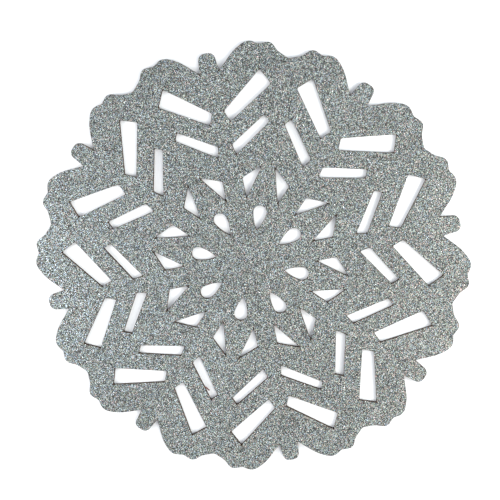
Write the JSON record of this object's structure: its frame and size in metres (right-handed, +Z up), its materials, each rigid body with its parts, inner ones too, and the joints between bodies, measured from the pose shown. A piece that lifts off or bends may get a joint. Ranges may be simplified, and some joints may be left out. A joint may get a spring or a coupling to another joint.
{
  "type": "snowflake mat",
  "caption": "Flat round snowflake mat of glitter-faced fibreboard, with a scalloped rim, small tabs and cut-out slots, triangles and teardrops.",
  "frame": {"origin": "centre of the underside, on the surface that the mat lies on", "axes": "+Z up through the glitter face, +X along one arm, +Y along the arm a quarter turn on"},
  "size_m": [0.3726, 0.3726, 0.0032],
  "materials": {
    "lining_paper": "plain matt lining paper",
    "glue_film": "dried clear glue",
    "fibreboard": "brown fibreboard with browned cut edges",
    "carrier_paper": "grey carrier paper",
    "silver_glitter": "dense silver glitter in a clear binder"
  },
  "bodies": {
    "root": {"backing_paper": "lining_paper", "backing_glue": "glue_film", "core_board": "fibreboard", "facing_glue": "glue_film", "facing_paper": "carrier_paper", "glitter_coat": "silver_glitter"}
  },
  "joints": []
}
